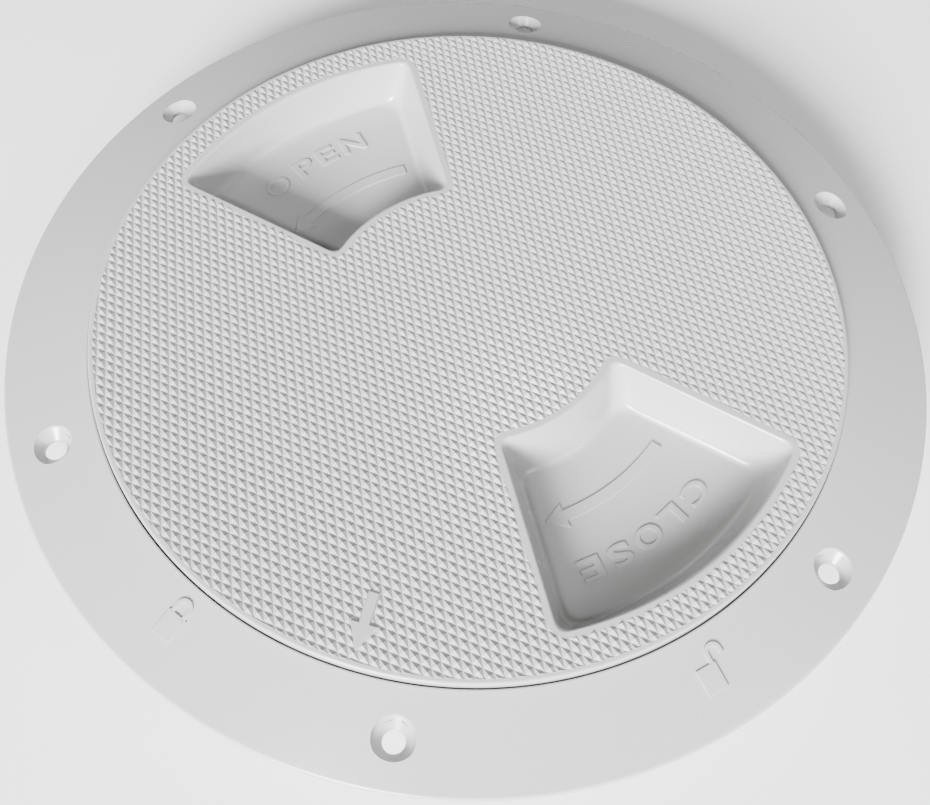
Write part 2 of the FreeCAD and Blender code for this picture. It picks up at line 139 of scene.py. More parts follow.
@settings_group
class HatchRingSizes(PropertyGroup):
    """The mounting ring: flange, recess, seat, spigot and screw holes."""
    edge_height: length(1.5, "Height of the flange's outer edge above the deck")
    edge_round: length(1.1, "Rounding of the flange's outer edge")
    lip_radius: length(101.8, "Radius of the recess that takes the lid")
    lip_height: length(7.15, "Height of the flange at the recess")
    lip_round: length(0.5, "Rounding of the recess's edge")
    flange_wall: length(2.4, "Thickness of the sloping flange")
    recess_wall_radius: length(104.6, "Outside of the recess's wall")
    outer_band_radius: length(118.0, "Inside of the band on the deck")
    ledge_height: length(2.6, "Height of the recess's floor")
    ledge_radius: length(100.85, "Radius where the seal's seat starts")
    seat_height: length(0.75, "Height where the seal's seat ends")
    bore_radius: length(99.0, "Radius of the clear bore")
    spigot_radius: length(102.2, "Outside of the spigot in the deck's cut-out")
    web_count: whole_number(24, "Radial webs under the flange")
    web_width: length(2.0, "Thickness of a web")
    hole_circle: length(113.7, "Radius of the circle of screw holes")
    hole_count: whole_number(6, "Number of screw holes")
    hole_radius: length(2.75, "Radius of a screw hole")
    boss_radius: length(6.4, "Radius of the boss round a screw hole")
    sink_radius: length(5.2, "Radius of a hole's sunk mouth")
    sink_height: length(3.5, "Height where a hole's cone is as wide as its mouth")
    steps: whole_number(360, "Facets round the ring")


@settings_group
class HatchThreadSizes(PropertyGroup):
    """The four helical channels of the ring and the four lugs of the lid."""
    lead: length(24.0, "Rise of the lid in a full turn")
    starts: whole_number(4, "Number of channels and of lugs")
    ramp_radius: length(95.6, "Inner radius of ramps and shelves")
    ramp_thickness: length(2.6, "Height of a ramp's section")
    ramp_span: angle(70.5, "Angle that a ramp covers")
    shelf_thickness: length(2.0, "Height of a shelf's section")
    shelf_span: angle(91.0, "Angle that a shelf covers")
    stop_span: angle(2.0, "Angle that a stop covers")
    channel_start: angle(58.5, "Where the first channel starts")
    start_lag: angle(10.5, "From a channel's start to the middle of a locked lug")
    lug_radius: length(98.4, "Outer radius of a lug")
    lug_top: length(-7.85, "Height of the top of a lug's middle when locked")
    lug_height: length(3.2, "Height of a lug's section")
    lug_span: angle(16.0, "Angle that a lug covers")
    first_lug: angle(45.0, "Angle from a pocket to a lug")
    play: length(0.3, "Clearance of a lug in its channel")
    rest_turn: angle(23.0, "Turn of the stored lid from its locked end")


@settings_group
class HatchLidSizes(PropertyGroup):
    """The lid: plate, rim, skirt, ribs and finger pockets."""
    rest_angle: angle(137.0, "Where the first pocket points in the stored lid")
    radius: length(101.4, "Radius of the lid")
    top: length(9.2033, "Height of the smooth surface of the lid")
    plate: length(3.0, "Thickness of the lid's plate")
    edge_round: length(0.8, "Rounding of the lid's edge")
    rim_depth: length(4.3, "Height of the lid's rim")
    rim_inner_radius: length(99.6, "Inside of the rim")
    skirt_radius: length(95.0, "Outside of the skirt")
    skirt_inner_radius: length(92.2, "Inside of the skirt")
    skirt_depth: length(19.67, "From the lid's smooth surface to the skirt's end")
    hub_radius: length(34.0, "Outside of the stiffening ring under the plate")
    hub_inner_radius: length(32.0, "Inside of the stiffening ring")
    rib_depth: length(8.0, "Height of the ribs under the plate")
    rib_width: length(2.0, "Thickness of a rib")
    rib_count: whole_number(24, "Radial ribs under the plate")
    pocket_depth: length(12.5, "Depth of a finger pocket")
    pocket_wall: length(2.5, "Wall thickness round a pocket")
    mouth: lengths((40.5, 91.4, 19.2, 39.5), "A pocket's mouth: two radii, two half widths")
    floor: lengths((45.3, 88.2, 17.4, 34.5), "A pocket's floor: two radii, two half widths")
    corner: length(3.5, "Rounding of a pocket's corners")
    floor_corner: length(5.5, "Rounding of the floor's corners")
    mouth_round: length(1.6, "Rounding of a pocket's mouth")
    floor_round: length(4.5, "Rounding between a pocket's walls and floor")
    steps: whole_number(360, "Facets round the lid")


@settings_group
class HatchTreadSizes(PropertyGroup):
    """The grip tread of diamond-shaped pyramids between two families of grooves."""
    pitch: length(2.30, "Distance between neighbouring grooves")
    height: length(0.485, "Height of a pyramid above the smooth surface")
    groove: length(0.2, "Depth of the grooves below the smooth surface")
    radius: length(100.0, "Outer limit of the tread")
    pocket_border: length(2.1, "From a pocket's mouth to the tread")
    mark_border: length(0.25, "From the pointer to the tread")
    recess: length(0.5, "Depth of the field that the tread fills in the plate")
    sink: length(0.3, "How far the tread's base reaches into the plate")


@settings_group
class HatchMarkSizes(PropertyGroup):
    """Raised marks: pointer, arrows and words on the lid, padlocks on the ring."""
    height: length(0.5, "Height of the lid's raised marks")
    edge: length(0.12, "Bevel along the marks' upper edges")
    pointer_angle: angle(126.0, "From the first pocket to the pointer")
    pointer_tail: length(83.5, "Radius of the pointer's tail")
    pointer_neck: length(91.2, "Radius where the pointer's head starts")
    pointer_tip: length(97.7, "Radius of the pointer's tip")
    pointer_half: length(1.25, "Half width of the pointer's shaft")
    pointer_head: length(3.35, "Half width of the pointer's head")
    arrow_radius: length(60.4, "Radius of the curved arrows' middle line")
    arrow_half: length(1.5, "Half width of a curved arrow's shaft")
    arrow_tail: length(19.9, "Arc from the middle to the opening arrow's tail")
    arrow_short_tail: length(17.7, "Arc from the middle to the closing arrow's tail")
    arrow_neck: length(15.3, "Arc from the pocket's middle to an arrow's head")
    arrow_tip: length(20.7, "Arc from the pocket's middle to an arrow's tip")
    arrow_head: length(3.5, "Half width of a curved arrow's head")
    word_height: length(6.0, "Height of the capital letters")
    word_radius: length(75.8, "Radius of the middle of the letters")
    wide_letters: text("ONC", "Letters that are wider than high")
    letter_widths: vector((1.25, 1.22, 1.17), "Widths of the wide letters in heights")
    letter_weight: length(0.05, "How much the strokes are thickened")
    open_word: text("OPEN", "Word in the first pocket")
    close_word: text("CLOSE", "Word in the second pocket")
    open_bearings: angles((11.4, 3.4, -2.6, -9.5),
                          "Where the first word's letters stand in their pocket")
    close_bearings: angles((12.2, 4.9, -1.5, -8.3, -14.7),
                           "Where the second word's letters stand in their pocket")
    padlock_height: length(0.45, "Height of the padlocks above the flange")
    locked_radius: length(111.0, "Radius of the closed padlock's middle")
    unlocked_radius: length(111.8, "Radius of the open padlock's middle")
    locked_angle: angle(240.0, "Where the closed padlock lies on the ring")
    unlocked_angle: angle(308.3, "Where the open padlock lies on the ring")
    padlock_half: length(2.7, "Half width of a padlock's body")
    padlock_back: length(2.0, "From the middle to the body's inner side")
    padlock_front: length(4.3, "From the middle to the body's outer side")
    shackle_outer: length(2.25, "Outer radius of a shackle")
    shackle_inner: length(1.2, "Inner radius of a shackle")
    shackle_centre: length(4.0, "From the padlock's middle to its shackle's")
    shackle_shift: length(3.5, "How far the open shackle stands to the side")
    free_end: length(2.8, "Where the open shackle's free leg ends")


@settings_group
class HatchFinish(PropertyGroup):
    """Colours of the plastic, the rubber and the floor."""
    ring_colour: colour((0.42, 0.42, 0.417), "White plastic of the ring")
    lid_colour: colour((0.44, 0.44, 0.437), "White plastic of the lid")
    rubber_colour: colour((0.02, 0.02, 0.021), "Black rubber of the seal")
    floor_colour: colour((0.96, 0.96, 0.96), "Pale floor below the hatch")


@settings_group
class HatchStage(PropertyGroup):
    """Camera and lights."""
    azimuth: angle(5.46, "Camera's bearing round the hatch")
    elevation: angle(61.95, "Camera's height above the horizon")
    roll: angle(3.97, "Camera's turn about its line of sight")
    target: lengths((2.28, -24.67, 0.0), "Point that the camera looks at")
    distance: length(280.41, "From the camera to its target")
    lens: number(40.78, "Focal length on a 36 mm sensor", unit="CAMERA")
    floor_half: length(4000.0, "Half width of the floor")
    world_strength: number(0.17, "Strength of the even light")
    key_power: number(560.0, "Power of the main light")
    key_size: length(1000.0, "Width of the main light")
    key_distance: length(3000.0, "From the main light to the hatch")
    key_bearing: angle(260.0, "Where the main light stands")
    key_elevation: angle(23.0, "Height of the main light")
    glint_power: number(4.0, "Power of the small light")
    glint_size: length(120.0, "Width of the small light")
    glint_distance: length(1000.0, "From the small light to the hatch")
    glint_bearing: angle(250.0, "Where the small light stands")
    glint_elevation: angle(55.0, "Height of the small light")
    fill_power: number(4.0, "Power of the side light")
    fill_size: length(350.0, "Width of the side light")
    fill_distance: length(1000.0, "From the side light to the hatch")
    fill_bearing: angle(338.0, "Where the side light stands")
    fill_elevation: angle(40.0, "Height of the side light")


SETTINGS = {
    "hatch_ring": HatchRingSizes,
    "hatch_thread": HatchThreadSizes,
    "hatch_lid": HatchLidSizes,
    "hatch_tread": HatchTreadSizes,
    "hatch_marks": HatchMarkSizes,
    "hatch_finish": HatchFinish,
    "hatch_stage": HatchStage,
}


# Outlines and meshes

def bezier(start, corner, end, steps):
    """Points of a rounded corner, from start to end, that leaves towards the corner point."""
    points = []
    for step in range(steps + 1):
        share = step / steps
        rest = 1 - share
        points.append(rest ** 2 * start + 2 * share * rest * corner + share ** 2 * end)
    return points


def polar(radius, bearing, height=0.0):
    return Vector((radius * math.cos(bearing), radius * math.sin(bearing), height))


def arc_points(radius, start, end, steps):
    """Points of an arc about the axis."""
    return [polar(radius, start + (end - start) * step / steps) for step in range(steps + 1)]


def turn_about(bearing, size=3):
    """A turn about the axis, as a matrix of 3 or 4 rows."""
    return Matrix.Rotation(bearing, size, "Z")


def rounded_profile(corners, steps=5):
    """A closed section through (radius, height, rounding) corners, in the XZ plane."""
    places = [Vector((radius, 0.0, height)) for radius, height, rounding in corners]
    points = []
    for index, here in enumerate(places):
        rounding = corners[index][2]
        if rounding <= 0.0:
            points.append(here)
            continue
        back = (places[index - 1] - here).normalized()
        ahead = (places[(index + 1) % len(places)] - here).normalized()
        reach = rounding / math.tan(back.angle(ahead) / 2)
        points += bezier(here + back * reach, here, here + ahead * reach, steps)
    return points


def only_verts(geometry):
    return [item for item in geometry if isinstance(item, bmesh.types.BMVert)]


def all_of(bm):
    return bm.verts[:] + bm.edges[:] + bm.faces[:]


def add_loop(bm, points):
    """Adds a closed loop of vertices and edges."""
    verts = [bm.verts.new(point) for point in points]
    edges = [bm.edges.new((verts[index - 1], verts[index])) for index in range(len(verts))]
    return verts, edges


def edges_round(bm, verts):
    """The edges that join a closed loop of vertices."""
    return [bm.edges.get((verts[index - 1], verts[index])) for index in range(len(verts))]


def spin_solid(profile, steps):
    """A closed section turned through a full circle about the axis."""
    bm = bmesh.new()
    verts, edges = add_loop(bm, profile)
    bmesh.ops.spin(bm, geom=verts + edges, cent=CENTRE, axis=UP, dvec=CENTRE, angle=FULL_TURN,
                   steps=steps, use_merge=True, use_duplicate=False)
    bmesh.ops.remove_doubles(bm, verts=bm.verts, dist=POLE_MERGE)
    bmesh.ops.dissolve_degenerate(bm, dist=POLE_MERGE / 10, edges=bm.edges)
    bmesh.ops.recalc_face_normals(bm, faces=bm.faces)
    return bm


def grow_loop(bm, verts, points):
    """Extrudes a closed loop of vertices to new points and returns the new loop."""
    grown = bmesh.ops.extrude_edge_only(bm, edges=edges_round(bm, verts))["geom"]
    fresh = set(only_verts(grown))
    new_verts = []
    for vert, point in zip(verts, points):
        partner = next(other for other in (edge.other_vert(vert) for edge in vert.link_edges)
                       if other in fresh)
        partner.co = point
        new_verts.append(partner)
    return new_verts


def loft_solid(bm, loops):
    """A closed skin over loops of equally many points, with flat ends."""
    verts, edges = add_loop(bm, loops[0])
    bmesh.ops.contextual_create(bm, geom=edges)
    for points in loops[1:]:
        verts = grow_loop(bm, verts, points)
    bmesh.ops.contextual_create(bm, geom=edges_round(bm, verts))
    bmesh.ops.recalc_face_normals(bm, faces=bm.faces)


def raise_outline(bm, points, low, high):
    """A straight-sided block over a flat outline."""
    loft_solid(bm, [[Vector((point.x, point.y, height)) for point in points]
                    for height in (low, high)])


def sweep_section(bm, section, bearing, span, lead, steps):
    """Turns a closed section of the XZ plane from a bearing through a span, rising by the lead."""
    verts, edges = add_loop(bm, section)
    cap = bmesh.ops.contextual_create(bm, geom=edges)["faces"]
    bmesh.ops.rotate(bm, cent=CENTRE, matrix=turn_about(bearing), verts=verts)
    rise = lead * span / FULL_TURN / steps
    bmesh.ops.spin(bm, geom=verts + edges + cap, cent=CENTRE, axis=UP, dvec=UP * rise, angle=span,
                   steps=steps, use_merge=False, use_duplicate=False)
    bmesh.ops.recalc_face_normals(bm, faces=bm.faces)


def box_section(inner, outer, low, high):
    """A rectangle in the XZ plane."""
    return [Vector((radius, 0.0, height))
            for radius, height in ((inner, low), (outer, low), (outer, high), (inner, high))]


def repeat_round(bm, count):
    """Copies everything in a bmesh evenly round the axis."""
    geometry = all_of(bm)
    for index in range(1, count):
        copy = bmesh.ops.duplicate(bm, geom=geometry)["geom"]
        bmesh.ops.rotate(bm, cent=CENTRE, matrix=turn_about(FULL_TURN * index / count),
                         verts=only_verts(copy))


def turn_mesh(bm, bearing):
    """Turns everything in a bmesh about the axis."""
    bmesh.ops.rotate(bm, cent=CENTRE, matrix=turn_about(bearing), verts=bm.verts)


def new_object(name, bm):
    """Makes an object from a bmesh, at the origin, and lets the bmesh go."""
    mesh = bpy.data.meshes.new(name)
    bm.to_mesh(mesh)
    bm.free()
    piece = bpy.data.objects.new(name, mesh)
    bpy.context.scene.collection.objects.link(piece)
    return piece


def lofted_object(name, loops, count):
    """An object of equal lofted solids, spaced evenly round the axis."""
    bm = bmesh.new()
    loft_solid(bm, loops)
    repeat_round(bm, count)
    return new_object(name, bm)


def radial_plates(name, section, width, count):
    """Flat plates of a section and a thickness, spaced evenly round the axis."""
    half = Vector((0.0, width / 2, 0.0))
    return lofted_object(name, [[point - half for point in section],
                                [point + half for point in section]], count)


def combine(piece, operation, tools):
    """Joins closed tools to a piece or cuts them from it, and clears the tools away."""
    for tool in tools:
        change = piece.modifiers.new(operation.title(), "BOOLEAN")
        change.operation = operation
        change.solver = "EXACT"
        change.object = tool
    bake_modifiers(piece)
    for tool in tools:
        mesh = tool.data
        bpy.data.objects.remove(tool)
        bpy.data.meshes.remove(mesh)


def bake_modifiers(piece):
    """Replaces a piece's mesh by the one that its modifiers give."""
    graph = bpy.context.evaluated_depsgraph_get()
    mesh = bpy.data.meshes.new_from_object(piece.evaluated_get(graph))
    old = piece.data
    piece.modifiers.clear()
    piece.data = mesh
    bpy.data.meshes.remove(old)
    mesh.name = piece.name


def close_slits(bm):
    """Puts a face into each ring of open edges."""
    bm.edges.index_update()
    loose = {edge for edge in bm.edges if edge.is_boundary}
    while loose:
        ring, reached = set(), {loose.pop()}
        while reached:
            ring |= reached
            beside = {edge for one in reached for vert in one.verts for edge in vert.link_edges}
            reached = beside & loose
            loose -= reached
        bmesh.ops.contextual_create(bm, geom=sorted(ring, key=lambda edge: edge.index))


def tidy_mesh(piece):
    """Merges doubles, joins flat neighbours into larger faces and closes slits."""
    bm = bmesh.new()
    bm.from_mesh(piece.data)
    bmesh.ops.remove_doubles(bm, verts=bm.verts, dist=MERGE)
    bmesh.ops.dissolve_degenerate(bm, dist=MERGE, edges=bm.edges)
    bmesh.ops.dissolve_limit(bm, angle_limit=math.radians(FLAT_BEND), verts=bm.verts,
                             edges=bm.edges, use_dissolve_boundaries=False, delimit={"NORMAL"})
    close_slits(bm)
    bmesh.ops.recalc_face_normals(bm, faces=bm.faces)
    bm.to_mesh(piece.data)
    bm.free()


def finish_piece(piece, body, sharp_angle, replaces=()):
    """Shades a piece, gives it its material and tells the frame what it rides on."""
    piece.data.shade_smooth()
    piece.data.set_sharp_from_angle(angle=math.radians(sharp_angle))
    weighted = piece.modifiers.new("Flat faces stay flat", "WEIGHTED_NORMAL")
    weighted.keep_sharp = True
    weighted.weight = 80
    slot, material = FINISHES[body]
    piece.data.materials.clear()
    piece.data.materials.append(material(bpy.context.scene.hatch_finish))
    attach(piece, body)
    if replaces:
        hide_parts(*replaces)


# Materials

def shader_nodes(name):
    """A new material with its node tree emptied down to a shader and an output."""
    material = bpy.data.materials.get(name) or bpy.data.materials.new(name)
    material.use_nodes = True
    nodes = material.node_tree.nodes
    nodes.clear()
    shader = nodes.new("ShaderNodeBsdfPrincipled")
    output = nodes.new("ShaderNodeOutputMaterial")
    material.node_tree.links.new(shader.outputs["BSDF"], output.inputs["Surface"])
    return material, nodes, material.node_tree.links, shader


def noise(nodes, links, coordinates, scale, detail):
    """A noise texture on the object's own coordinates."""
    texture = nodes.new("ShaderNodeTexNoise")
    texture.inputs["Scale"].default_value = scale
    texture.inputs["Detail"].default_value = detail
    links.new(coordinates.outputs["Object"], texture.inputs["Vector"])
    return texture


def value_range(nodes, links, source, low, high):
    """Maps a texture's 0.3 to 0.7 middle range to a range of values."""
    ramp = nodes.new("ShaderNodeMapRange")
    ramp.inputs["From Min"].default_value = 0.3
    ramp.inputs["From Max"].default_value = 0.7
    ramp.inputs["To Min"].default_value = low
    ramp.inputs["To Max"].default_value = high
    links.new(source.outputs["Fac"], ramp.inputs["Value"])
    return ramp


def moulded_surface(name, colours, clouds, gloss, gloss_range, skin, grain, depth):
    """A moulded surface: clouded colour, uneven gloss and a fine skin in the light."""
    material, nodes, links, shader = shader_nodes(name)
    coordinates = nodes.new("ShaderNodeTexCoord")
    tint = nodes.new("ShaderNodeMix")
    tint.data_type = "RGBA"
    tint.inputs[6].default_value = (*colours[0], 1.0)
    tint.inputs[7].default_value = (*colours[1], 1.0)
    links.new(noise(nodes, links, coordinates, *clouds).outputs["Fac"], tint.inputs[0])
    links.new(tint.outputs[2], shader.inputs["Base Color"])
    sheen = value_range(nodes, links, noise(nodes, links, coordinates, *gloss), *gloss_range)
    links.new(sheen.outputs["Result"], shader.inputs["Roughness"])
    bump = nodes.new("ShaderNodeBump")
    bump.inputs["Strength"].default_value = grain
    bump.inputs["Distance"].default_value = depth
    links.new(noise(nodes, links, coordinates, *skin).outputs["Fac"], bump.inputs["Height"])
    links.new(bump.outputs["Normal"], shader.inputs["Normal"])
    return material


def white_plastic(name, colour, roughness):
    """White plastic with faint clouds and a fine grain."""
    clouded = [channel * 0.975 for channel in colour]
    return moulded_surface(name, (clouded, colour), (45.0, 3.0), (160.0, 4.0),
                           (roughness - 0.04, roughness + 0.05), (2600.0, 2.0), 0.12, 0.02 * MM)


def ring_material(finish):
    return white_plastic("ring_plastic", finish.ring_colour, 0.25)


def lid_material(finish):
    return white_plastic("lid_plastic", finish.lid_colour, 0.23)


def seal_material(finish):
    """Matt black rubber with a dusty bloom and fine pores."""
    bloom = (90.0, 5.0)
    dusty = [channel + 0.02 for channel in finish.rubber_colour]
    return moulded_surface("seal_rubber", (finish.rubber_colour, dusty), bloom, bloom,
                           (0.55, 0.75), (1800.0, 3.0), 0.3, 0.03 * MM)


def floor_material(finish):
    """Pale matt floor with a slightly uneven gloss."""
    material, nodes, links, shader = shader_nodes("studio_floor")
    coordinates = nodes.new("ShaderNodeTexCoord")
    mottle = value_range(nodes, links, noise(nodes, links, coordinates, 30.0, 3.0), 0.55, 0.65)
    links.new(mottle.outputs["Result"], shader.inputs["Roughness"])
    shader.inputs["Base Color"].default_value = (*finish.floor_colour, 1.0)
    return material


FINISHES = {
    "ring": ("ring_plastic", ring_material),
    "lid": ("lid_plastic", lid_material),
    "seal": ("seal_rubber", seal_material),
}


# Mounting ring

def flange_height(ring, radius):
    """Height of the flange's sloping top at a radius."""
    share = (RING_HIGH.x - radius) / (RING_HIGH.x - ring.lip_radius)
    return ring.edge_height + (ring.lip_height - ring.edge_height) * share


def flange_slope(ring):
    """Angle at which the flange falls outwards."""
    return math.atan2(ring.lip_height - ring.edge_height, RING_HIGH.x - ring.lip_radius)


def ring_profile(ring):
    """Section of the ring: spigot, flange and recess."""
    low = RING_LOW.z
    inside = flange_height(ring, ring.recess_wall_radius) - ring.flange_wall
    outside = flange_height(ring, ring.outer_band_radius) - ring.flange_wall
    return rounded_profile([
        (ring.bore_radius, low, SMALL),
        (ring.spigot_radius, low, WIDE),
        (ring.spigot_radius, 0.0, 0.0),
        (ring.recess_wall_radius, 0.0, 0.0),
        (ring.recess_wall_radius, inside, WIDE),
        (ring.outer_band_radius, outside, BAND_ROUND),
        (ring.outer_band_radius, 0.0, 0.0),
        (RING_HIGH.x, 0.0, 0.0),
        (RING_HIGH.x, ring.edge_height, ring.edge_round),
        (ring.lip_radius, ring.lip_height, ring.lip_round),
        (ring.lip_radius, ring.ledge_height, SMALL),
        (ring.ledge_radius, ring.ledge_height, FINE),
        (ring.bore_radius, ring.seat_height, FINE),
    ])


def web_tool(ring):
    """The radial webs under the flange, which end inside the flange's wall."""
    inner = ring.recess_wall_radius - REACH
    outer = ring.outer_band_radius + REACH
    into_wall = 1.2 * MM
    section = [Vector((radius, 0.0, height)) for radius, height in (
        (inner, SHY),
        (outer, SHY),
        (outer, ring.edge_height),
        (inner, flange_height(ring, inner) - into_wall),
    )]
    return radial_plates("webs", section, ring.web_width, ring.web_count)


def disc_stack(bm, rings, steps=48):
    """A closed turned block about the Z axis through (radius, height) rings."""
    loft_solid(bm, [[polar(radius, FULL_TURN * step / steps, height) for step in range(steps)]
                    for radius, height in rings])


def screw_group(ring, name, rings):
    """Turned blocks at the screws' places, the first one on the -Y side."""
    bm = bmesh.new()
    disc_stack(bm, rings)
    bmesh.ops.translate(bm, verts=bm.verts, vec=(0.0, -ring.hole_circle, 0.0))
    repeat_round(bm, ring.hole_count)
    return new_object(name, bm)


def boss_tool(ring):
    """The bosses under the flange, up into its wall."""
    top = 2.6 * MM
    return screw_group(ring, "bosses", [(ring.boss_radius, SHY), (ring.boss_radius, top)])


def hole_tool(ring):
    """The screw holes with their sunk mouths."""
    cone_foot = ring.sink_height - ring.sink_radius + ring.hole_radius
    return screw_group(ring, "holes", [
        (ring.hole_radius, -REACH),
        (ring.hole_radius, cone_foot),
        (ring.sink_radius, ring.sink_height),
        (ring.sink_radius, ring.lip_height + REACH),
    ])


def ring_channels(ring, thread):
    """Ramps, shelves and stops of the four channels, reaching into the bore's wall."""
    per_turn = thread.lead / FULL_TURN
    lag = per_turn * thread.start_lag
    under = thread.lug_top + thread.play - lag
    over = thread.lug_top - thread.lug_height - thread.play - lag
    inner = thread.ramp_radius
    outer = ring.bore_radius + 0.8 * MM
    foot = over - thread.shelf_thickness
    high = under + thread.ramp_thickness + per_turn * thread.ramp_span
    # The stop stands out from the ramp and the shelf by a hair, so that no faces coincide
    hair, hair_turn = 0.01 * MM, 0.0002
    start = thread.channel_start
    bm = bmesh.new()
    for section, bearing, span, lead, steps in (
            (box_section(inner, outer, under, under + thread.ramp_thickness),
             start, thread.ramp_span, thread.lead, 36),
            (box_section(inner, outer, foot, over), start, thread.shelf_span, thread.lead, 46),
            (box_section(inner - hair, outer, foot, high),
             start - hair_turn, thread.stop_span, 0.0, 2)):
        sweep_section(bm, section, bearing, span, lead, steps)
    repeat_round(bm, thread.starts)
    return new_object("ring_channels", bm)


class HATCH_OT_ring(Operator):
    """Build the mounting ring: flange with sunk screw holes, recess, spigot, webs and channels"""
    bl_idname = "hatch.ring"
    bl_label = "Mounting Ring"

    def execute(self, context):
        ring = context.scene.hatch_ring
        piece = new_object("ring_moulding", spin_solid(ring_profile(ring), ring.steps))
        combine(piece, "UNION", [web_tool(ring), boss_tool(ring)])
        combine(piece, "DIFFERENCE", [hole_tool(ring)])
        tidy_mesh(piece)
        finish_piece(piece, "ring", BODY_BEND, ["mounting_ring"])
        finish_piece(ring_channels(ring, context.scene.hatch_thread), "ring", BODY_BEND)
        return {"FINISHED"}


# Lid

def sector_outline(sizes, corner, corner_steps=8, outer_steps=48, inner_steps=28):
    """A pocket's outline: two arcs about the axis and two straight sides, with rounded corners.

    The sizes are the radii of the inner and outer arc and the half widths at each."""
    inner, outer, inner_half, outer_half = sizes
    near = math.asin(inner_half / inner)
    far = math.asin(outer_half / outer)
    near_cut = near - corner / inner
    far_cut = far - corner / outer
    right_foot, right_head = polar(inner, -near), polar(outer, -far)
    left_foot, left_head = polar(inner, near), polar(outer, far)
    right = (right_head - right_foot).normalized() * corner
    left = (left_head - left_foot).normalized() * corner
    points = bezier(right_head - right, right_head, polar(outer, -far_cut), corner_steps)
    points += arc_points(outer, -far_cut, far_cut, outer_steps)[1:-1]
    points += bezier(polar(outer, far_cut), left_head, left_head - left, corner_steps)
    points += bezier(left_foot + left, left_foot, polar(inner, near_cut), corner_steps)
    points += arc_points(inner, near_cut, -near_cut, inner_steps)[1:-1]
    points += bezier(polar(inner, -near_cut), right_foot, right_foot + right, corner_steps)
    return points


def grown_sector(sizes, margin):
    """The sizes of a pocket's outline moved outwards everywhere by a margin."""
    inner, outer, inner_half, outer_half = sizes
    inner_along = math.sqrt(inner ** 2 - inner_half ** 2)
    outer_along = math.sqrt(outer ** 2 - outer_half ** 2)
    slope = (outer_half - inner_half) / (outer_along - inner_along)
    offset = inner_half - slope * inner_along + margin * math.hypot(1.0, slope)
    halves = []
    for radius in (inner - margin, outer + margin):
        root = math.sqrt(radius ** 2 * (1 + slope ** 2) - offset ** 2)
        halves.append(slope * (root - slope * offset) / (1 + slope ** 2) + offset)
    return inner - margin, outer + margin, halves[0], halves[1]


def lid_profile(lid):
    """Section of the lid, from the middle of its top round to the middle of its underside."""
    below = lid.top - lid.plate
    ribs = below - lid.rib_depth
    foot = lid.top - lid.skirt_depth
    rim = lid.top - lid.rim_depth
    return rounded_profile([
        (lid.radius, lid.top, lid.edge_round),
        (lid.radius, rim, FINE),
        (lid.rim_inner_radius, rim, FINE),
        (lid.rim_inner_radius, below, FINE),
        (lid.skirt_radius, below, FINE),
        (lid.skirt_radius, foot, SMALL),
        (lid.skirt_inner_radius, foot, SMALL),
        (lid.skirt_inner_radius, below, MEDIUM),
        (lid.hub_radius, below, MEDIUM),
        (lid.hub_radius, ribs, FINE),
        (lid.hub_inner_radius, ribs, FINE),
        (lid.hub_inner_radius, below, MEDIUM),
        (0.0, below, 0.0),
        (0.0, lid.top, 0.0),
    ])


def pocket_outline(sizes, corner, height, margin=0.0):
    """A pocket's mouth or floor at a height, moved outwards by a margin."""
    if margin:
        sizes = grown_sector(sizes, margin)
    return [point + UP * height for point in sector_outline(sizes, corner)]


def pocket_loops(lid):
    """Loops of a pocket's hollow, from above the lid over the rounded mouth to the floor."""
    mouth = pocket_outline(lid.mouth, lid.corner, lid.top)
    floor = pocket_outline(lid.floor, lid.floor_corner, lid.top - lid.pocket_depth)
    steps = 8
    above = 2.0 * MM
    # The mouth's rounding ends a hair below the lid's top, so that the cut leaves no slivers
    hair = 0.003 * MM
    columns = []
    for edge, foot in zip(mouth, floor):
        wall = (foot - edge).normalized()
        out = Vector((edge.x - foot.x, edge.y - foot.y, 0.0)).normalized()
        half = out.angle(wall) / 2
        mouth_reach = lid.mouth_round / math.tan(half)
        floor_reach = lid.floor_round / math.tan(half)
        top = bezier(edge + out * mouth_reach, edge, edge + wall * mouth_reach, steps)
        low = bezier(foot - wall * floor_reach, foot, foot - out * floor_reach, steps)
        top[0] = top[0] - UP * hair
        columns.append([top[0] + UP * above] + top + low)
    return [list(loop) for loop in zip(*columns)]


def pocket_shell_loops(lid):
    """Loops of the outside of a pocket's wall and floor, from inside the plate down."""
    low = lid.top - lid.pocket_depth - lid.pocket_wall
    chamfer, shrink = 0.5 * MM, 0.985
    lower = pocket_outline(lid.floor, lid.corner, 0.0, lid.pocket_wall * 0.8)
    return [
        pocket_outline(lid.mouth, lid.corner, lid.top - lid.plate / 2, lid.pocket_wall),
        [point + UP * (low + chamfer) for point in lower],
        [point * shrink + UP * low for point in lower],
    ]


def rib_tool(lid):
    """Radial ribs under the plate, from the hub to the skirt."""
    below = lid.top - lid.plate
    section = box_section(lid.hub_radius - MEDIUM, lid.skirt_inner_radius + MEDIUM,
                          below - lid.rib_depth + SHY, below + MEDIUM)
    return radial_plates("ribs", section, lid.rib_width, lid.rib_count)


def lug_tool(lid, thread):
    """Four lugs whose faces follow the thread, reaching into the skirt's wall."""
    per_turn = thread.lead / FULL_TURN
    lift = per_turn * thread.rest_turn
    top = thread.lug_top + lift - per_turn * thread.lug_span / 2
    section = box_section(lid.skirt_radius - 0.8 * MM, thread.lug_radius,
                          top - thread.lug_height, top)
    bm = bmesh.new()
    sweep_section(bm, section, thread.first_lug - thread.lug_span / 2, thread.lug_span,
                  thread.lead, 12)
    repeat_round(bm, thread.starts)
    return new_object("lugs", bm)


